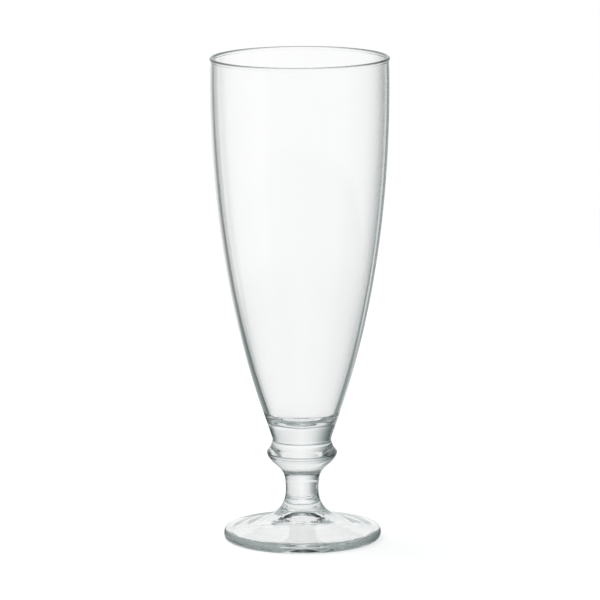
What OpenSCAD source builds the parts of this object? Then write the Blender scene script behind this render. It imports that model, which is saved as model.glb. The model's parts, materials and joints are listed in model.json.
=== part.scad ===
// Stemmed pilsner glass: three lumps of clear glass fused hot at two seams.
// The origin is on the table, under the axis of the glass, and +Z points up.

/* [Bowl] */
// Diameter over the rim bead
rim_d = 73.4; // [66:0.1:82]
// Height of the bowl, from the neck seam to the top of the rim
bowl_h = 158.3; // [130:0.1:190]
// Distance from the top of the rim down to the widest place of the wall
belly_drop = 10; // [6:0.5:24]
// How far the wall swells out past the mouth at its widest place
belly_swell = 0.12; // [0:0.02:0.6]
// Wall thickness under the rim
rim_wall = 1.25; // [0.9:0.05:1.8]
// Wall thickness at the bottom of the cavity
base_wall = 2.2; // [1.6:0.05:3]
// How far the rim bead stands out past the outside of the wall
bead_out = 0.37; // [0.2:0.01:0.6]
// How far the rim bead stands in past the inside of the wall
bead_in = 0.08; // [0.04:0.01:0.3]
// Angle of the straight cone above the neck, from upright
cone_angle = 18.7; // [14:0.1:21]
// Height of the top of the straight cone above the neck seam
cone_h = 14.6; // [13:0.1:22]
// Height of the rounding between the neck seam and the straight cone
neck_round = 2.2; // [1.2:0.1:4]
// Thickness of the solid glass between the neck seam and the cavity floor
base_t = 7.3; // [4:0.1:9]
// Height of the rounding between the cavity floor and the wall
corner_h = 5; // [3:0.1:7]
// Diameter of the level part of the cavity floor
floor_d = 13.8; // [11:0.1:16]
// Diameter of the dimple in the middle of the cavity floor
dimple_d = 8; // [5:0.1:10]
// Depth of the dimple in the middle of the cavity floor
dimple_t = 0.7; // [0.3:0.05:1.5]

/* [Stem] */
// Diameter of the neck, at the seam between bowl and stem
neck_d = 24.1; // [21:0.1:26]
// Height of the neck seam above the widest ring of the knop
neck_rise = 5.1; // [4:0.1:8]
// Diameter of the knop at its widest ring
knop_d = 28.9; // [27:0.1:34]
// Height of the widest ring of the knop above the waist of the stem
knop_rise = 15.6; // [12:0.1:24]
// Diameter of the stem at its waist
waist_d = 13.5; // [11:0.1:17]
// Height of the waist above the table
waist_h = 20.6; // [17:0.1:28]

/* [Foot] */
// Diameter of the foot
foot_d = 64.7; // [58:0.1:76]
// Thickness of the foot at its edge
edge_t = 4.45; // [3:0.05:5]
// Slope of the top of the foot, from level
foot_slope = 13; // [9:0.5:14]
// Diameter at which the flare under the stem has run out into the slope
flare_d = 47.6; // [40:0.1:52]
// How far the upper corner of the edge lies inside the foot diameter
edge_top_in = 0.95; // [0.5:0.05:1.6]
// How far the lower corner of the edge lies inside the foot diameter
edge_foot_in = 1.35; // [0.8:0.05:2.2]
// Size of the rounding on both corners of the edge
edge_round = 0.45; // [0.2:0.05:0.6]
// Width of the resting ring
ring_w = 1.8; // [1:0.1:3]
// Height of the hollow under the foot, where the side of the dome begins
hollow_h = 5.3; // [4:0.1:5.8]
// Diameter at which the side of the dome begins
dome_d = 16.8; // [14:0.1:20]
// Height of the dome above the table
dome_h = 9.3; // [8:0.1:12]

/* [Hidden] */
glass_tint = [0.86, 0.93, 0.92, 0.5];
$fn = 96;

// Straight pieces in one curve, in a small rounding, along the wall and round the bead
bend_steps = 12;
small_steps = 4;
wall_steps = 24;
bead_steps = 16;

// How far each end of a curve runs along its tangent, as shares of the way to
// the corner where the two tangents meet. The first share is the lower end's.
arc_shares = [0.55, 0.55];
wall_shares = [0.55, 0.75];
flare_shares = [1.1, 0.4];
hollow_shares = [0.8, 0.5];
dome_shares = [0.6, 0.6];

// Where the slanting flank under and over the knop leaves the lower upright
// tangent and meets the upper one, as shares of the height between them
knop_flank_shares = [0.44, 0.86];
neck_flank_shares = [0.02, 0.65];
knop_round_shares = [0.8, 0.7];
neck_round_shares = [0.6, 0.42];

// Where the line of the cone meets the neck diameter, in the neck rounding
neck_lip_share = 0.22;
// Where the foot seam cuts the flare, counted down from the waist
seam_share = 0.09;
// Heights of the corner, the widest place and the corner of the bulging edge
edge_shares = [0.18, 0.54, 0.81];
// Where the line of the dome's side reaches the dome's height, inside its diameter
dome_side_share = 0.33;
// Where the hollow's curve passes into the dome's, on that line
dome_start_share = 0.25;

rim_r = rim_d / 2;
neck_r = neck_d / 2;
knop_r = knop_d / 2;
waist_r = waist_d / 2;
foot_r = foot_d / 2;
knop_z = waist_h + knop_rise;
neck_z = knop_z + neck_rise;
rim_z = neck_z + bowl_h;
floor_z = neck_z + base_t;
corner_z = floor_z + corner_h;

// Point or number part of the way from a to b
function mix(a, b, t) = a + (b - a) * t;

// All points of a list but the first
function tail(list) = [for (i = [1:len(list) - 1]) list[i]];

// Point of a cubic curve with four control points
function cubic(p, t) =
    let(u = 1 - t)
    u * u * u * p[0] + 3 * u * u * t * p[1] + 3 * u * t * t * p[2] + t * t * t * p[3];

// Curve from a to b whose end tangents meet in the corner
function bend(a, corner, b, shares = arc_shares, from = 0, to = 1, steps = bend_steps) =
    let(p = [a, mix(a, corner, shares[0]), mix(b, corner, shares[1]), b])
    [for (i = [0:steps]) cubic(p, mix(from, to, i / steps))];

// The same curve in a few pieces, for a rounding too small to need more
function ease(a, corner, b) = bend(a, corner, b, steps = small_steps);

// S-shaped curve between two upright ends, with a straight flank in its middle
function swing(a, b, flanks, rounds) =
    let(low = [a.x, mix(a.y, b.y, flanks[0])],
        high = [b.x, mix(a.y, b.y, flanks[1])],
        mid = (low + high) / 2)
    concat(bend(a, low, mid, [rounds[0], rounds[0]]),
           tail(bend(mid, high, b, [rounds[1], rounds[1]])));

// Fillet between the upright wall at radius x and the bead at angle a
function bead_fillet(x, a) =
    let(p = bead_c + bead_r * [cos(a), sin(a)],
        run = (x - p.x) / sin(a),
        corner = [x, p.y - abs(run * cos(a))])
    ease([x, corner.y - abs(run)], corner, p);

// Outside of the bowl, from the neck seam to just under the bead
mouth_r = rim_r - bead_out;
belly_r = mouth_r + belly_swell;
cone_r = neck_r + (cone_h - neck_round * neck_lip_share) * tan(cone_angle);
cone_low_r = neck_r + neck_round * (1 - neck_lip_share) * tan(cone_angle);
cone_top = [cone_r, neck_z + cone_h];
cone_low = [cone_low_r, neck_z + neck_round];
belly = [belly_r, rim_z - belly_drop];
belly_corner = [belly_r, cone_top.y + (belly_r - cone_r) / tan(cone_angle)];

neck_curve = ease([neck_r, neck_z], [neck_r, neck_z + neck_round * neck_lip_share], cone_low);
wall_curve = bend(cone_top, belly_corner, belly, wall_shares, steps = wall_steps);

// Rim bead, a full round on top of the wall
bead_r = (rim_wall + bead_out + bead_in) / 2;
bead_c = [rim_r - bead_r, rim_z - bead_r];
mouth_in_r = mouth_r - rim_wall;
bead_out_a = -acos((mouth_r + bead_out / 2 - bead_c.x) / bead_r);
bead_in_a = 180 + acos((bead_c.x - mouth_in_r + bead_in / 2) / bead_r);
bead_curve = [for (i = [0:bead_steps])
    let(a = mix(bead_out_a, bead_in_a, i / bead_steps))
    bead_c + bead_r * [cos(a), sin(a)]];
outer_fillet = bead_fillet(mouth_r, bead_out_a);
inner_fillet = bead_fillet(mouth_in_r, bead_in_a);

// Inside of the bowl: the outside moved in by a wall that thins towards the rim
wall_table = [for (p = concat([cone_low], wall_curve, [outer_fillet[0]])) [p.y, p.x]];
function inner_r(z) =
    lookup(z, wall_table) - mix(base_wall, rim_wall, (z - corner_z) / (rim_z - corner_z));
inner_top_z = inner_fillet[0].y;
inner_curve = [for (i = [1:wall_steps])
    let(z = mix(inner_top_z, corner_z, i / wall_steps)) [inner_r(z), z]];

// Rounded corner, level floor and dimple of the cavity
corner_in = 2 * inner_r(corner_z) - inner_r(corner_z + corner_h);
corner_curve = bend([inner_r(corner_z), corner_z], [corner_in, floor_z], [floor_d / 2, floor_z]);
dimple_z = floor_z - dimple_t;
dimple_curve = bend([dimple_d / 2, floor_z], [dimple_d / 4, dimple_z], [0, dimple_z]);

module bowl() {
    color(glass_tint)
        rotate_extrude()
            polygon(concat(
                [[0, neck_z]], neck_curve, wall_curve, outer_fillet, tail(bead_curve),
                [for (i = [1:len(inner_fillet)]) inner_fillet[len(inner_fillet) - i]],
                inner_curve, tail(corner_curve), dimple_curve));
}

// Flare from the waist of the stem down onto the sloping top of the foot
top_corner = [foot_r - edge_top_in, edge_t];
function slope_z(r) = top_corner.y + (top_corner.x - r) * tan(foot_slope);
flare_end = [flare_d / 2, slope_z(flare_d / 2)];
flare_corner = [waist_r, slope_z(waist_r)];
function flare(from, to) =
    bend([waist_r, waist_h], flare_corner, flare_end, flare_shares, from, to);

module stem() {
    knop_side = swing([waist_r, waist_h], [knop_r, knop_z], knop_flank_shares, knop_round_shares);
    neck_side = swing([knop_r, knop_z], [neck_r, neck_z], neck_flank_shares, neck_round_shares);
    lower_side = flare(seam_share, 0);
    color(glass_tint)
        rotate_extrude()
            polygon(concat([[0, lower_side[0].y]], lower_side, tail(knop_side),
                           tail(neck_side), [[0, neck_z]]));
}

// Bulging edge of the foot, from its upper corner down to the table
slope_way = [cos(foot_slope), -sin(foot_slope)];
side_top = [foot_r, edge_t * edge_shares[2]];
side_mid = [foot_r, edge_t * edge_shares[1]];
side_low = [foot_r, edge_t * edge_shares[0]];
low_corner = [foot_r - edge_foot_in, 0];
function step_to(a, b, run) = a + (b - a) / norm(b - a) * run;
edge_top_start = top_corner - slope_way * edge_round;
edge_top_end = step_to(top_corner, side_top, edge_round);
edge_low_start = step_to(low_corner, side_low, edge_round);
edge_low_end = low_corner - [edge_round, 0];
edge_curve = concat(
    ease(edge_top_start, top_corner, edge_top_end),
    tail(ease(edge_top_end, side_top, side_mid)),
    tail(ease(side_mid, side_low, edge_low_start)),
    tail(ease(edge_low_start, low_corner, edge_low_end)));

// Underside: the resting ring, a hollow that follows the top, and the dome under the stem
ring_in_r = edge_low_end.x - ring_w;
dome_r = dome_d / 2;
hollow_corner = [dome_r, hollow_h];
dome_corner = [dome_r * dome_side_share, dome_h];
dome_start = mix(hollow_corner, dome_corner, dome_start_share);
hollow_curve = bend([ring_in_r, 0], hollow_corner, dome_start, hollow_shares);
dome_curve = bend(dome_start, dome_corner, [0, dome_h], dome_shares);

module foot() {
    top_side = flare(seam_share, 1);
    color(glass_tint)
        rotate_extrude()
            polygon(concat([[0, top_side[0].y]], top_side, edge_curve, hollow_curve,
                           tail(dome_curve)));
}

bowl();
stem();
foot();
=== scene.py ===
import json
import math
import bpy
from mathutils import Matrix, Vector

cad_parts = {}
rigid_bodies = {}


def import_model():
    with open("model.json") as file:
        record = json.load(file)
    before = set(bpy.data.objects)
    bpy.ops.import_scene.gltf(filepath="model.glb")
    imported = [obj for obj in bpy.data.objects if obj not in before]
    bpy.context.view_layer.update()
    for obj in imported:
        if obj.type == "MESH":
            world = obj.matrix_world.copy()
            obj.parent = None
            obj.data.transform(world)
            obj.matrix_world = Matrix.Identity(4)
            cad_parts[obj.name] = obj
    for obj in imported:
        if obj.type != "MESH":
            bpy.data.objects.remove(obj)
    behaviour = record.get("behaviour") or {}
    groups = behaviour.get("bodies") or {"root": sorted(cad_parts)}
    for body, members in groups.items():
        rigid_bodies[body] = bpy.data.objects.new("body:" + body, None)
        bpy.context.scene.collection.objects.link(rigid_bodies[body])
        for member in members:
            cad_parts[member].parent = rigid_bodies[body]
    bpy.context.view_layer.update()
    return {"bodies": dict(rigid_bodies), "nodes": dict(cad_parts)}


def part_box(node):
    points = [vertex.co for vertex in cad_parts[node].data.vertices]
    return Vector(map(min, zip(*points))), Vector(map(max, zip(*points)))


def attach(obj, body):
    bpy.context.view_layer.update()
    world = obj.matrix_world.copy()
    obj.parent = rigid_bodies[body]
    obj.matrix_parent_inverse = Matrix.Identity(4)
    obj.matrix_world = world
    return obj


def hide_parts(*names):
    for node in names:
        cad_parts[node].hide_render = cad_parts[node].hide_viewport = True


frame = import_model()
print("frame loaded:", ", ".join(sorted(frame["nodes"])))

mm = 0.001
degree = math.pi / 180
touching = 1e-7  # points nearer to each other or to the axis than this are one
sameHeight = 1e-6  # and heights nearer than this are the same

# What the frame says of the three pieces
neckZ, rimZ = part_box("bowl")[0].z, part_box("bowl")[1].z
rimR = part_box("bowl")[1].x
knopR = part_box("stem")[1].x
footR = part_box("foot")[1].x
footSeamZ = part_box("stem")[0].z

# How many flat faces stand for a full turn and for each stretch of an outline
fineness = dict(turn=256, straight=8, curve=32, seam=4, edge=8, cone=12, wall=110, brim=6, bead=32,
                neckLip=10, floor=6, flareTop=10, flare=60, hollow=48)


# Outlines are lists of points, each a radius and a height. A pull is how far a curve's two handles reach
# towards its corner, as shares of the way.

def mix(a, b, t):
    return a + (b - a) * t


def point(r, z):
    return Vector((r, z))


def onCircle(centre, r, turn):
    return centre + r * point(math.cos(turn), math.sin(turn))


def straight(a, b, steps=fineness["straight"]):
    return [mix(a, b, i / steps) for i in range(steps + 1)]


def bend(a, corner, b, pull=(0.55, 0.55), start=0.0, end=1.0, steps=fineness["curve"]):
    # curve from a to b whose end tangents meet in the corner
    p = [a, mix(a, corner, pull[0]), mix(b, corner, pull[1]), b]
    made = []
    for i in range(steps + 1):
        t = mix(start, end, i / steps)
        u = 1 - t
        made.append(p[0] * u ** 3 + p[1] * 3 * u * u * t + p[2] * 3 * u * t * t + p[3] * t ** 3)
    return made


def swing(a, b, flanks, pulls):
    # S-shaped curve between two upright ends; the slanting flank between them has its ends at these
    # shares of the height
    low = point(a.x, mix(a.y, b.y, flanks[0]))
    high = point(b.x, mix(a.y, b.y, flanks[1]))
    middle = (low + high) / 2
    return join(bend(a, low, middle, (pulls[0],) * 2), bend(middle, high, b, (pulls[1],) * 2))


def join(*stretches):
    # one outline from stretches, where a point that two of them share is kept once
    made = list(stretches[0])
    for stretch in stretches[1:]:
        made += stretch[1:] if (stretch[0] - made[-1]).length < touching else stretch
    return made


# The pulls and flanks of the wall, the knop, the neck and the flare, and the sizes that go with them,
# weren't chosen by hand: a solver fitted them to the outline in the photograph, and they were rounded.
bowlShape = dict(
    bellyDrop=10 * mm,  # from the rim down to the widest place
    bellySwell=0.12 * mm,
    rimWall=1.25 * mm,
    baseWall=2.2 * mm,
    beadOut=0.37 * mm,  # how far the bead at the rim stands out from the wall
    beadIn=0.08 * mm,
    filletGap=0.2 * mm,  # left free between the wall's last point inside and the bead's fillet
    coneAngle=18.7 * degree,
    coneH=14.6 * mm,
    neckR=12.05 * mm,
    neckRound=2.2 * mm,
    neckLip=0.22,  # share of that rounding's height where its two sides would meet
    wallPull=(0.55, 0.75),
    baseT=7.3 * mm,
    cornerH=5 * mm,
    floorR=6.9 * mm,
    dimpleR=4 * mm,
    dimpleT=0.7 * mm,
)


def bowlOutline(bowl):
    # the outside, from the neck's seam up to the rim
    mouthR = rimR - bowl["beadOut"]
    slant = math.tan(bowl["coneAngle"])
    bellyR = mouthR + bowl["bellySwell"]
    lipH = bowl["neckRound"] * bowl["neckLip"]
    coneR = bowl["neckR"] + (bowl["coneH"] - lipH) * slant
    neck = point(bowl["neckR"], neckZ)
    neckLip = point(bowl["neckR"], neckZ + lipH)
    coneLow = point(bowl["neckR"] + (bowl["neckRound"] - lipH) * slant, neckZ + bowl["neckRound"])
    coneTop = point(coneR, neckZ + bowl["coneH"])
    belly = point(bellyR, rimZ - bowl["bellyDrop"])
    bellyCorner = point(bellyR, coneTop.y + (bellyR - coneR) / slant)

    # the rim's bead and the fillets that lead into it
    beadR = (bowl["rimWall"] + bowl["beadOut"] + bowl["beadIn"]) / 2
    beadC = point(rimR - beadR, rimZ - beadR)
    innerR = mouthR - bowl["rimWall"]
    outTurn = -math.acos((mouthR + bowl["beadOut"] / 2 - beadC.x) / beadR)
    inTurn = math.pi + math.acos((beadC.x - innerR + bowl["beadIn"] / 2) / beadR)
    steps = fineness["bead"]
    bead = [onCircle(beadC, beadR, mix(outTurn, inTurn, i / steps)) for i in range(steps + 1)]

    def fillet(r, turn):
        end = onCircle(beadC, beadR, turn)
        run = (r - end.x) / math.sin(turn)
        corner = point(r, end.y - abs(run * math.cos(turn)))
        return bend(point(r, corner.y - abs(run)), corner, end, steps=fineness["edge"])

    outFillet, inFillet = fillet(mouthR, outTurn), fillet(innerR, inTurn)
    wall = join(straight(coneLow, coneTop, fineness["cone"]),
                bend(coneTop, bellyCorner, belly, bowl["wallPull"], steps=fineness["wall"]),
                straight(belly, outFillet[0], fineness["brim"]))

    # the inside is the outside moved in by a wall that thins towards the rim
    floorZ = neckZ + bowl["baseT"]
    cornerZ = floorZ + bowl["cornerH"]

    def innerAt(z):
        low = max(i for i in range(len(wall) - 1) if wall[i].y <= z)
        a, b = wall[low], wall[low + 1]
        outer = mix(a.x, b.x, (z - a.y) / (b.y - a.y))
        return outer - mix(bowl["baseWall"], bowl["rimWall"], (z - cornerZ) / (rimZ - cornerZ))

    insideTop = inFillet[0].y - bowl["filletGap"]
    inside = [point(innerAt(p.y), p.y) for p in wall if cornerZ < p.y < insideTop]
    corner = point(innerAt(cornerZ), cornerZ)
    cornerIn = 2 * corner.x - innerAt(cornerZ + bowl["cornerH"])
    floorEnd = point(bowl["floorR"], floorZ)
    dimpleEdge = point(bowl["dimpleR"], floorZ)
    dimpleZ = floorZ - bowl["dimpleT"]
    return join(
        straight(point(0, neckZ), neck, fineness["seam"]),
        bend(neck, neckLip, coneLow, steps=fineness["neckLip"]),
        wall, outFillet, bead, inFillet[::-1], inside[::-1],
        bend(corner, point(cornerIn, floorZ), floorEnd),
        straight(floorEnd, dimpleEdge, fineness["floor"]),
        bend(dimpleEdge, point(bowl["dimpleR"] / 2, dimpleZ), point(0, dimpleZ)))


footShape = dict(
    edgeT=4.45 * mm,
    slope=13 * degree,
    flareR=23.8 * mm,
    flarePull=(1.1, 0.4),
    seamShare=0.09,  # where the stem's seam cuts the flare, as a share of its run
    edgeTopIn=0.95 * mm,  # how far the edge's top and foot are in from its widest place
    edgeFootIn=1.35 * mm,
    edgeRound=0.45 * mm,
    edgeHeights=(0.18, 0.54, 0.81),  # of its lower corner, middle and upper corner, as shares of edgeT
    ringW=1.8 * mm,
    hollowH=5.3 * mm,  # where the side of the dome begins
    hollowPull=(0.8, 0.5),
    domeR=8.4 * mm,
    domeH=9.3 * mm,
    domeSide=0.33,  # radius at which the dome's side would reach its top, as a share of its own
    domeStart=0.25,  # how far up that side it begins to bend
    domePull=(0.6, 0.6),
)
stemShape = dict(
    waistR=6.75 * mm,
    waistZ=20.6 * mm,
    knopRise=15.6 * mm,
    knopFlank=(0.44, 0.86),
    knopPull=(0.8, 0.7),
    neckFlank=(0.02, 0.65),
    neckPull=(0.6, 0.42),
)


def slopeZ(r):
    # height of the foot's upper slope
    return footShape["edgeT"] + (footR - footShape["edgeTopIn"] - r) * math.tan(footShape["slope"])


def flare(start, end, steps):
    # the curve from the stem's waist to the foot's slope, between two shares of its run
    waist = point(stemShape["waistR"], stemShape["waistZ"])
    r = footShape["flareR"]
    return bend(waist, point(waist.x, slopeZ(waist.x)), point(r, slopeZ(r)),
                footShape["flarePull"], start, end, steps)


def stemOutline(stem):
    waist = point(stem["waistR"], stem["waistZ"])
    knop = point(knopR, stem["waistZ"] + stem["knopRise"])
    neck = point(bowlShape["neckR"], neckZ)
    low = flare(footShape["seamShare"], 0, fineness["flareTop"])
    return join(
        straight(point(0, low[0].y), low[0], fineness["seam"]), low,
        swing(waist, knop, stem["knopFlank"], stem["knopPull"]),
        swing(knop, neck, stem["neckFlank"], stem["neckPull"]),
        straight(neck, point(0, neck.y), fineness["seam"]))


def footOutline(foot):
    top = point(footR - foot["edgeTopIn"], foot["edgeT"])
    lower, middle, upper = (point(footR, foot["edgeT"] * share) for share in foot["edgeHeights"])
    low = point(footR - foot["edgeFootIn"], 0)
    r = foot["edgeRound"]
    topStart = top - r * point(math.cos(foot["slope"]), -math.sin(foot["slope"]))
    topEnd = top + r * (upper - top).normalized()
    lowStart = low + r * (lower - low).normalized()
    lowEnd = low - point(r, 0)
    ringIn = lowEnd - point(foot["ringW"], 0)
    slope = flare(foot["seamShare"], 1, fineness["flare"])
    hollowCorner = point(foot["domeR"], foot["hollowH"])
    domeCorner = point(foot["domeR"] * foot["domeSide"], foot["domeH"])
    domeStart = mix(hollowCorner, domeCorner, foot["domeStart"])

    def edge(a, corner, b):
        return bend(a, corner, b, steps=fineness["edge"])

    made = join(
        straight(point(0, slope[0].y), slope[0], fineness["seam"]), slope,
        straight(slope[-1], topStart), edge(topStart, top, topEnd),
        edge(topEnd, upper, middle), edge(middle, lower, lowStart), edge(lowStart, low, lowEnd),
        straight(lowEnd, ringIn, fineness["seam"]),
        bend(ringIn, hollowCorner, domeStart, foot["hollowPull"], steps=fineness["hollow"]),
        bend(domeStart, domeCorner, point(0, foot["domeH"]), foot["domePull"]))
    return made[::-1]


# What the mould and the hot glass leave on the turned shape. Angles run from the front to the right.
# A wave is a share of the height, how fast it goes per radian or millimetre, and where it starts.
wear = dict(
    clearR=6 * mm,  # nearer the axis only the foot's underside is worn
    moldAngles=(50 * degree, 72 * degree),  # the mould's ridge on the stem, at its foot and its top
    moldReach=(17.4 * mm, 26 * mm),
    moldSoft=1 * mm,
    moldH=0.4 * mm,
    moldW=0.35 * mm,
    moldWaves=((0.7, 2.9, 0), (0.5, 5.3, 1)),
    hookH=0.8 * mm,
    hookW=0.55 * mm,
    rippleH=0.03 * mm,  # rings round the flare
    rippleStep=1.15 * mm,
    rippleReach=(9.5 * mm, 15.4 * mm),
    rippleSoft=1 * mm,
    rippleWaves=((0.6, 3, 0),),
    knopH=0.12 * mm,  # slow waves up and down round the knop
    knopReach=(30 * mm, 42 * mm),
    knopSoft=3 * mm,
    knopWaves=((1, 1, 2), (0.6, 3, 0.5)),
    underH=0.03 * mm,  # waves in the hollow, each one round the axis times one outwards
    underT=1.5 * mm,  # a point this far below the foot's upper slope is on the underside
    underSoft=1.5 * mm,
    underWaves=(((1, 2, 0.7), (1, 0.57, 1.1)), ((0.6, 5, 2), (1, 1, 0.4)), ((0.5, 11, 0), (1, 1.9, 0))),
    edgeH=0.16 * mm,  # waves round the edge of the foot
    edgeShare=0.8,  # how much of the edge's overhang they take in
    edgeSoft=1.2 * mm,
    edgeWaves=((1, 2, 1), (0.6, 5, 0), (0.5, 12, 2)),
)


def within(value, reach, soft):
    # 1 inside the reach, falling to 0 at its ends
    inside = min(value - reach[0], reach[1] - value) / soft
    share = min(1.0, max(0.0, inside))
    return share * share * (3 - 2 * share)


def waves(value, parts):
    return sum(share * math.sin(value * fast + start) for share, fast, start in parts)


def worn(r, z, angle):
    # where a point of the turned shape comes to be, as a radius and a height
    if r < wear["clearR"] and z > footShape["hollowH"]:
        return r, z

    def fading(name):
        return within(z, wear[name + "Reach"], wear[name + "Soft"])

    low, high = wear["moldReach"]
    off = (angle - mix(*wear["moldAngles"], (z - low) / (high - low))) * r
    ridge = wear["moldH"] * (1 + waves(z / mm, wear["moldWaves"])) * math.exp(-(off / wear["moldW"]) ** 2)
    hook = wear["hookH"] * math.exp(-(math.hypot(off, z - low) / wear["hookW"]) ** 2)
    ripple = math.sin(2 * math.pi * z / wear["rippleStep"] + waves(angle, wear["rippleWaves"]))
    outer = ridge * fading("mold") + hook + wear["rippleH"] * ripple * fading("ripple")
    rise = wear["knopH"] * waves(angle, wear["knopWaves"]) * fading("knop")
    if z < slopeZ(r) - wear["underT"] and r < footR - footShape["edgeFootIn"]:
        swell = sum(waves(angle, [around]) * waves(r / mm, [outwards])
                    for around, outwards in wear["underWaves"])
        rise += wear["underH"] * swell * min(1.0, z / wear["underSoft"])
    elif r > footR - footShape["edgeTopIn"] * wear["edgeShare"]:
        swell = waves(angle, wear["edgeWaves"])
        rise += wear["edgeH"] * swell * within(z, (0, footShape["edgeT"]), wear["edgeSoft"])
    return r + outer, z + rise


def lathe(name, outline, seamHeights):
    # a closed piece turned about the axis; its level seam faces take the second material
    turns = fineness["turn"]
    places, rings = [], []
    for p in outline:
        if p.x < touching:
            rings.append([len(places)] * turns)
            places.append((0, 0, p.y))
            continue
        rings.append(list(range(len(places), len(places) + turns)))
        for j in range(turns):
            angle = 2 * math.pi * j / turns
            r, z = worn(p.x, p.y, angle)
            places.append((r * math.sin(angle), -r * math.cos(angle), z))
    faces, slots = [], []
    for a, b, p, q in zip(rings, rings[1:], outline, outline[1:]):
        seam = any(abs(p.y - z) + abs(q.y - z) < sameHeight for z in seamHeights)
        slots += [int(seam)] * turns
        for j in range(turns):
            k = (j + 1) % turns
            faces.append(list(dict.fromkeys((a[j], a[k], b[k], b[j]))))  # at the axis, three corners
    mesh = bpy.data.meshes.new(name)
    mesh.from_pydata(places, [], faces)
    mesh.polygons.foreach_set("material_index", slots)
    mesh.polygons.foreach_set("use_smooth", [True] * len(faces))
    plain, flat = ({i for face, slot in zip(faces, slots) if slot == kind for i in face} for kind in (0, 1))
    seamEdge = plain & flat
    for edge in mesh.edges:
        edge.use_edge_sharp = seamEdge.issuperset(edge.vertices)
    mesh.update()
    made = bpy.data.objects.new(name, mesh)
    bpy.context.scene.collection.objects.link(made)
    return made


# Shader nodes: a wire holds one output of a node, and sums on wires add Math nodes

class Wire:
    def __init__(self, tree, socket):
        self.tree, self.socket = tree, socket

    def also(self, name):
        # another output of the same node
        return Wire(self.tree, self.socket.node.outputs[name])

    def maths(self, operation, *others):
        return node(self.tree, "ShaderNodeMath", {"operation": operation},
                    dict(enumerate([self, *others])))

    def __add__(self, other):
        return self.maths("ADD", other)

    def __sub__(self, other):
        return self.maths("SUBTRACT", other)

    def __rsub__(self, other):
        return (self * -1) + other

    def __mul__(self, other):
        return self.maths("MULTIPLY", other)

    __radd__, __rmul__ = __add__, __mul__


def node(tree, kind, settings=None, sockets=None, out=0):
    made = tree.nodes.new(kind)
    for name, value in (settings or {}).items():
        if name == "stops":
            setStops(made.color_ramp.elements, value)
        else:
            setattr(made, name, value)
    for name, value in (sockets or {}).items():
        if isinstance(value, Wire):
            tree.links.new(value.socket, made.inputs[name])
        else:
            made.inputs[name].default_value = value
    return Wire(tree, made.outputs[out]) if made.outputs else None


def setStops(stops, tones):
    # grey tones by place; a new ramp has two stops already
    for i, (place, tone) in enumerate(tones.items()):
        stop = stops[i] if i < 2 else stops.new(place)
        stop.position, stop.color = place, (tone, tone, tone, 1)


def ramp(value, low, high, fromTone=0.0, toTone=1.0):
    # a soft step from one tone to another as value goes from low to high
    return node(value.tree, "ShaderNodeMapRange", {"interpolation_type": "SMOOTHSTEP"},
                {"Value": value, "From Min": low, "From Max": high,
                 "To Min": fromTone, "To Max": toTone})


def mixColour(share, first, second):
    # the Mix node's colours are its sockets 6 and 7, and the mixed one is its output 2
    return node(share.tree, "ShaderNodeMix", {"data_type": "RGBA"}, {0: share, 6: first, 7: second}, 2)


def newTree(owner):
    owner.use_nodes = True
    owner.node_tree.nodes.clear()
    return owner.node_tree


glassLook = dict(
    ior=1.52,
    # face is the glass's own colour, edge the colour of the painted shade at its edges
    face=(0.998, 0.999, 1.0, 1),
    edge=(0.03, 0.05, 0.055, 1),
    shadow=(0.88, 0.9, 0.9, 1),
    seam=(1, 1, 1, 1),
    wallShade=0.12,  # how fast painted shade darkens the thin wall where it turns away from the view
    solidShade=1.2,  # the same for the solid parts, up to the cavity's floor
    solidTop=2 * mm,  # how far below that floor one begins to give way to the other
    lineShade=6.0,  # the same for the thin painted dark line at the very edge of the solid parts
    lineThin=6.0,  # the larger, the thinner that line
    rimShade=14.0,
    rimReach=(0.8 * mm, 0.3 * mm),  # how far below its top the painted shade on the rim begins and is darkest
    paintedLineShade=1.8,  # a fine painted dark line round the knop, for the line of shade that the bending of light makes there
    paintedLineDrop=0.35 * mm,  # how far that line is below the knop's widest place
    paintedLineHalf=(0.05 * mm, 0.28 * mm),  # how far from its middle it is darkest and has ended
)


def paintedEdgeShade(tree, look):
    # painted shade: the glass's colour darkens towards its edges, where its surface turns away from the
    # view, for the dark lines that its surroundings give it; thick glass darkens there a little of itself.
    # The thin wall and level faces hardly darken
    place = node(tree, "ShaderNodeTexCoord")
    height = node(tree, "ShaderNodeSeparateXYZ", None, {0: place.also("Object")}, "Z")
    level = node(tree, "ShaderNodeSeparateXYZ", None, {0: place.also("Normal")}, "Z")
    upright = 1 - level * level
    facing = node(tree, "ShaderNodeLayerWeight", None, {"Blend": 0.5}, "Facing")
    floorZ = neckZ + bowlShape["baseT"]
    solid = ramp(height, floorZ - look["solidTop"], floorZ, 1, 0)
    depth = (solid * (look["solidShade"] - look["wallShade"]) + look["wallShade"]) * facing
    depth = depth + solid * facing.maths("POWER", look["lineThin"]) * look["lineShade"]
    rim = ramp(height, *(rimZ - drop for drop in look["rimReach"]))
    depth = depth * upright * upright + rim * facing * facing * look["rimShade"]
    # painted shade: a dark line round the knop, a little below its widest place
    paintedLineZ = stemShape["waistZ"] + stemShape["knopRise"] - look["paintedLineDrop"]
    paintedLine = ramp((height - paintedLineZ).maths("ABSOLUTE"), *look["paintedLineHalf"], 1, 0)
    depth = depth + paintedLine * look["paintedLineShade"]
    clear = (depth * -1).maths("EXPONENT")
    return mixColour(clear, look["edge"], look["face"])


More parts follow.
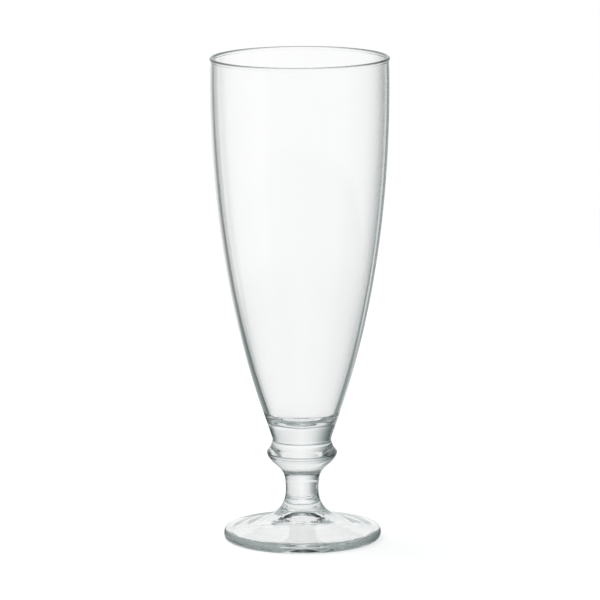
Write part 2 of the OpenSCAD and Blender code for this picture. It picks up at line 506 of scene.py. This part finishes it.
def clearGlass(name, look):
    # light from the lamps goes straight through, a little dimmed, so that the glass has a soft shadow
    material = bpy.data.materials.new(name)
    tree = newTree(material)
    shadedColour = paintedEdgeShade(tree, look)
    glass = node(tree, "ShaderNodeBsdfPrincipled", None,
                 {"Base Color": shadedColour, "Roughness": 0.0, "IOR": look["ior"], "Transmission Weight": 1.0})
    clear = node(tree, "ShaderNodeBsdfTransparent", None, {"Color": look["shadow"]})
    lampRay = node(tree, "ShaderNodeLightPath", out="Is Shadow Ray")
    shader = node(tree, "ShaderNodeMixShader", None, {0: lampRay, 1: glass, 2: clear})
    node(tree, "ShaderNodeOutputMaterial", None, {"Surface": shader})
    return material


def fusedSeam(look):
    # the glass is fused at a seam, so light goes straight on there
    material = bpy.data.materials.new("fusedSeam")
    tree = newTree(material)
    clear = node(tree, "ShaderNodeBsdfTransparent", None, {"Color": look["seam"]})
    node(tree, "ShaderNodeOutputMaterial", None, {"Surface": clear})
    return material


seamMaterial = fusedSeam(glassLook)


def dress(piece, nodeName, look):
    piece.data.materials.append(clearGlass(nodeName + "Glass", look))
    piece.data.materials.append(seamMaterial)
    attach(piece, next(iter(frame["bodies"])))
    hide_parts(nodeName)
    print("made", piece.name, len(piece.data.polygons), "faces")


dress(lathe("bowlGlass", bowlOutline(bowlShape), [neckZ]), "bowl", glassLook)
dress(lathe("stemGlass", stemOutline(stemShape), [neckZ, footSeamZ]), "stem", glassLook)
dress(lathe("footGlass", footOutline(footShape), [footSeamZ]), "foot", glassLook)


# A reach is the two values between which one tone or share gives way to another, in metres from the
# glass outwards where no note says otherwise
studio = dict(
    floorSize=16.0,
    floorColour=(0.95, 0.95, 0.95, 1),
    ownWhite=0.5,  # share of the floor's white that doesn't come from the lamps, close to the glass
    whiteReach=(0.3, 0.9),  # that share rises to 1
    paleHue=(1, 1, 1, 1),
    darkHue=(0.82, 1, 1, 1),
    paintedShadowReach=(0.03, 0.045),  # the floor's tones under the glass, which paint its shadow there for light seen in the glass, give way to the near ones
    nearReach=(0.2, 0.35),  # and those to the far ones
    highReach=(0.42, 0.5),  # low background to high, by the direction's height: level 0, straight up 1
    # how far light came down to the floor, as a square, for it to count as the thin wall's: light that
    # went straight through, and any light that comes down close to the glass
    liftReach=(0.002, 0.004),
    steepReach=(0.005, 0.01),
    closeReach=(0.15, 0.3),
    fillTone=0.5,  # how bright the world is for light that isn't seen in the glass
    lampPlace=(-0.9, 0.6, 2.2),
    lampSize=1.6,
    lampPower=60.0,
)

# Tones of the room by direction, in degrees from straight behind the glass, + to the right: of the
# background low and high up, and of the floor far off, near by and under the glass. Each has its own for
# light that goes straight through, is mirrored off the outside, once inside, and more often.
# Most of these values aren't chosen by hand. A solver fitted them by least squares to the photograph's
# tones, and they were thinned out, rounded and partly changed. They suit its view and are no real room.
roomTones = dict(
    low=dict(
        through={-180: 1, -90: 0.95, -72: 0.5, -60: 0.14, -50: 0.22, -40: 0.34, -30: 0.56, -20: 0.8,
                 -12: 0.94, 0: 1, 12: 0.98, 30: 0.94, 45: 0.87, 52: 0.68, 60: 0.36, 72: 0.6, 90: 0.95,
                 180: 1},
        mirrored={-180: 1, -60: 0.95, -45: 0.8, -15: 0.95, 0: 1.05, 15: 0.72, 30: 0.36, 45: 0.1,
                  90: 0.1, 120: 0.8, 180: 1},
        inner={-180: 0.5, -120: 0.45, -105: 0.2, -75: 0.35, -45: 0.18, -30: 0.55, -15: 0.95, 30: 0.95,
               45: 0.75, 75: 0.95, 120: 0.94, 150: 0.7, 180: 0.5},
        deeper={-180: 0.3, -160: 0.15, -140: 0.1, -105: 0.05, -90: 0.27, -60: 0.28, -45: 0.5,
                -15: 0.68, 0: 0.95, 15: 0.6, 45: 0.3, 75: 0.05, 90: 0.3, 120: 0.5, 150: 0.65, 180: 0.3}),
    high=dict(
        through={-180: 1, -90: 1, -60: 0.4, -30: 0.7, -12: 1, 12: 1, 30: 0.85, 60: 0.4, 90: 1, 180: 1},
        mirrored={-180: 0.65, -120: 0.5, -90: 0.3, -60: 0.1, -45: 0.3, -30: 0.8, -15: 1.3, 15: 1.15,
                  30: 0.55, 45: 0, 120: 0, 150: 0.5, 180: 0.65},
        inner={-180: 0.06, -45: 0, -15: 0.04, 0: 0.2, 12: 0.04, 28: 0.05, 38: 0.85, 50: 0.8, 65: 0.2,
               105: 0.45, 120: 0.6, 150: 0.1, 180: 0.06},
        deeper={-180: 0.04, -150: 0.38, -90: 0.42, -45: 0.42, -30: 0.75, -15: 1.1, 15: 1.1, 30: 0.65,
                45: 0.35, 150: 0.32, 180: 0.04}),
    far=dict(
        through={-180: 1, 0: 1, 180: 1},
        mirrored={-180: 0.8, -137: 0.85, -132: 1.25, -60: 1.25, -45: 1.05, -30: 0.85, -15: 1.15, 0: 1,
                  15: 0.45, 30: 0.25, 45: 0.05, 60: 0.25, 90: 0.5, 120: 0.85, 180: 0.8},
        inner={-180: 0.75, -75: 0.85, -60: 0.6, -45: 0.1, -30: 0, -15: 0.5, 0: 0.75, 8: 0.6, 15: 0.15,
               23: 0.15, 28: 1, 33: 1, 39: 0.25, 48: 0.35, 60: 0.85, 90: 1.1, 120: 1.1, 180: 0.75},
        deeper={-180: 0.4, -160: 0.15, -140: 0.1, -105: 0.3, -75: 0.1, -30: 0, -15: 0.6, 0: 1,
                15: 0.65, 30: 0.15, 45: 0.4, 60: 0.7, 75: 0.9, 120: 0.8, 150: 0.65, 180: 0.4}),
    near=dict(
        through={-180: 1, -120: 0.86, -90: 0.9, -65: 0.75, -50: 0.33, -35: 0.35, -25: 0.55, -15: 0.85,
                 0: 0.97, 30: 0.95, 50: 0.92, 60: 0.5, 70: 0.45, 80: 0.8, 120: 0.85, 180: 1},
        mirrored={-180: 0.5, -150: 0.1, -120: 0.44, -105: 0.86, -90: 1, -75: 0.83, -60: 0.3, -30: 0.1,
                  -15: 0.5, 0: 0.8, 30: 0.86, 45: 0.15, 105: 0.1, 135: 0.2, 180: 0.5},
        inner={-180: 0.9, -120: 0.7, -90: 0.22, -60: 0.08, -45: 0.13, -30: 0.3, -15: 0.5, 0: 0.89,
               15: 0.4, 45: 0.3, 60: 0.4, 90: 0.82, 120: 1.1, 180: 0.9},
        deeper={-180: 0.5, -150: 0.6, -120: 0.1, -75: 0.15, -60: 0.6, -30: 0.3, 0: 0.35, 60: 0.5,
                90: 0.4, 135: 0.7, 180: 0.5}),
    # under the glass: a painted shadow of the glass on the floor, met only by light that comes by way of
    # the glass
    under=dict(
        through={-180: 0.9, 180: 0.9},
        mirrored={-180: 0.5, -150: 0.1, -120: 0.3, -90: 0.6, 0: 0.8, 90: 0.4, 135: 0.15, 180: 0.5},
        inner={-180: 0.9, -120: 0.6, -75: 0.35, -30: 0.6, -12: 0.95, 20: 0.9, 45: 0.65, 105: 0.65,
               180: 0.9},
        deeper={-180: 0.5, -120: 0.2, -75: 0.2, -60: 0.5, -30: 0.35, 0: 0.4, 60: 0.5, 90: 0.4,
                135: 0.6, 180: 0.5}),
)


def roundTone(azimuth, tones):
    # tone by direction round the glass
    turn = azimuth * (0.5 / math.pi) + 0.5
    stops = {angle / 360 + 0.5: tone for angle, tone in tones.items()}
    return node(azimuth.tree, "ShaderNodeValToRGB", {"stops": stops}, {0: turn})


def pathTone(path, x, y, first, others, lifted):
    # the tone that light meets by its way through the glass, as one place of the room gives way to
    # others; a depth counts how often light was mirrored or bent, and the halves part the counts
    glossy, often = (path.also("Glossy Depth").maths("GREATER_THAN", times) for times in (0.5, 1.5))
    inside, hollow = (path.also("Transmission Depth").maths("GREATER_THAN", times) for times in (0.5, 2.5))
    azimuth = x.maths("ARCTAN2", y)

    def kindTone(kind):
        tone = roundTone(azimuth, roomTones[first][kind])
        for place, share in others.items():
            tone = tone + (roundTone(azimuth, roomTones[place][kind]) - tone) * share
        return tone

    through, mirrored, inner, deeper = map(kindTone, ("through", "mirrored", "inner", "deeper"))
    # light that crossed the cavity, or came down from the wall above it, meets plain white
    through = through + (1 - through) * hollow.maths("MAXIMUM", lifted)
    inner = inner + (deeper - inner) * often
    reflected = mirrored + (inner - mirrored) * inside
    return through + (reflected - through) * glossy


def seenInGlass(path):
    # 1 for light that comes by way of the glass
    return path.also("Is Glossy Ray").maths("MAXIMUM", path.also("Is Transmission Ray"))


def roomColour(tone, seen, look):
    # the darker the tone that the glass sees, the cooler
    light = 1 - (1 - tone) * seen
    cool = mixColour(light, look["darkHue"], look["paleHue"])
    return node(tone.tree, "ShaderNodeVectorMath", {"operation": "SCALE"}, {0: cool, "Scale": tone})


def paleFloor(look):
    material = bpy.data.materials.new("paleFloor")
    tree = newTree(material)
    place = node(tree, "ShaderNodeNewGeometry", out="Position")
    x = node(tree, "ShaderNodeSeparateXYZ", None, {0: place})
    y = x.also("Y")
    away = (x * x + y * y).maths("SQRT")
    path = node(tree, "ShaderNodeLightPath")
    length = path.also("Ray Length")
    # large where light comes down from the thin wall high up, and small where from the solid parts
    drop = length * length - away * away
    # the floor's tones close by and, under the glass, its painted shadow
    places = {"near": ramp(away, *look["nearReach"], 1, 0), "under": ramp(away, *look["paintedShadowReach"], 1, 0)}
    tone = pathTone(path, x, y, "far", places, ramp(drop, *look["liftReach"]))
    steep = ramp(drop, *look["steepReach"]) * ramp(away, *look["closeReach"], 1, 0)
    tone = tone + (1 - tone) * steep
    camera, seen = path.also("Is Camera Ray"), seenInGlass(path)
    tone = camera + (1 - camera) * tone
    white = node(tree, "ShaderNodeEmission", None, {"Color": roomColour(tone, seen, look)})
    lit = node(tree, "ShaderNodeBsdfDiffuse", None, {"Color": look["floorColour"]})
    share = seen + camera * ramp(away, *look["whiteReach"], look["ownWhite"], 1)
    shader = node(tree, "ShaderNodeMixShader", None, {0: share, 1: lit, 2: white})
    node(tree, "ShaderNodeOutputMaterial", None, {"Surface": shader})
    return material


def makeFloor(look):
    half = look["floorSize"] / 2
    corners = [(-half, -half, 0), (half, -half, 0), (half, half, 0), (-half, half, 0)]
    mesh = bpy.data.meshes.new("floor")
    mesh.from_pydata(corners, [], [(0, 1, 2, 3)])
    mesh.materials.append(paleFloor(look))
    floor = bpy.data.objects.new("floor", mesh)
    bpy.context.scene.collection.objects.link(floor)


def makeWorld(look):
    world = bpy.data.worlds.new("studio")
    bpy.context.scene.world = world
    tree = newTree(world)
    way = node(tree, "ShaderNodeTexCoord", out="Generated")
    x = node(tree, "ShaderNodeSeparateXYZ", None, {0: way})
    y, z = x.also("Y"), x.also("Z")
    path = node(tree, "ShaderNodeLightPath")
    tone = pathTone(path, x, y, "low", {"high": ramp(z, *look["highReach"])}, 0)
    camera, seen = path.also("Is Camera Ray"), seenInGlass(path)
    strength = camera + (1 - camera) * (tone * seen + look["fillTone"] * (1 - seen))
    light = node(tree, "ShaderNodeBackground", None, {"Color": roomColour(strength, seen, look)})
    node(tree, "ShaderNodeOutputWorld", None, {"Surface": light})


def makeLamp(look):
    # a softbox above, behind and to the left, turned towards the foot of the glass and not seen in it
    data = bpy.data.lights.new("softbox", "AREA")
    data.size, data.energy = look["lampSize"], look["lampPower"]
    made = bpy.data.objects.new("softbox", data)
    made.location = look["lampPlace"]
    made.rotation_euler = made.location.to_track_quat("Z", "Y").to_euler()
    made.visible_glossy = made.visible_transmission = False
    bpy.context.scene.collection.objects.link(made)


makeFloor(studio)
makeWorld(studio)
makeLamp(studio)
print("studio ready")

# Fitted by a solver to the rim, the foot and the slight lean of the axis in the photograph
cameraPlace = dict(
    place=(-0.438 * mm, -1973.21 * mm, 446.94 * mm),
    tilt=9.990 * degree,  # below level
    roll=-0.353 * degree,
    lens=293.61,
    sensor=36,
    clip=(0.05, 60),
)


def makeCamera(look):
    data = bpy.data.cameras.new("camera")
    data.lens, data.sensor_width = look["lens"], look["sensor"]
    data.clip_start, data.clip_end = look["clip"]
    made = bpy.data.objects.new("camera", data)
    made.location = look["place"]
    lean = Matrix.Rotation(math.pi / 2 - look["tilt"], 3, "X") @ Matrix.Rotation(look["roll"], 3, "Z")
    made.rotation_euler = lean.to_euler()
    bpy.context.scene.collection.objects.link(made)
    bpy.context.scene.camera = made


makeCamera(cameraPlace)
print("camera ready")

scene = bpy.context.scene
scene.view_settings.view_transform = "Standard"
# light is mirrored and bent many times in solid glass
scene.cycles.max_bounces = 32
scene.cycles.glossy_bounces = 24
scene.cycles.transmission_bounces = 32
scene.cycles.transparent_max_bounces = 32
scene.cycles.caustics_reflective = False
scene.cycles.caustics_refractive = False
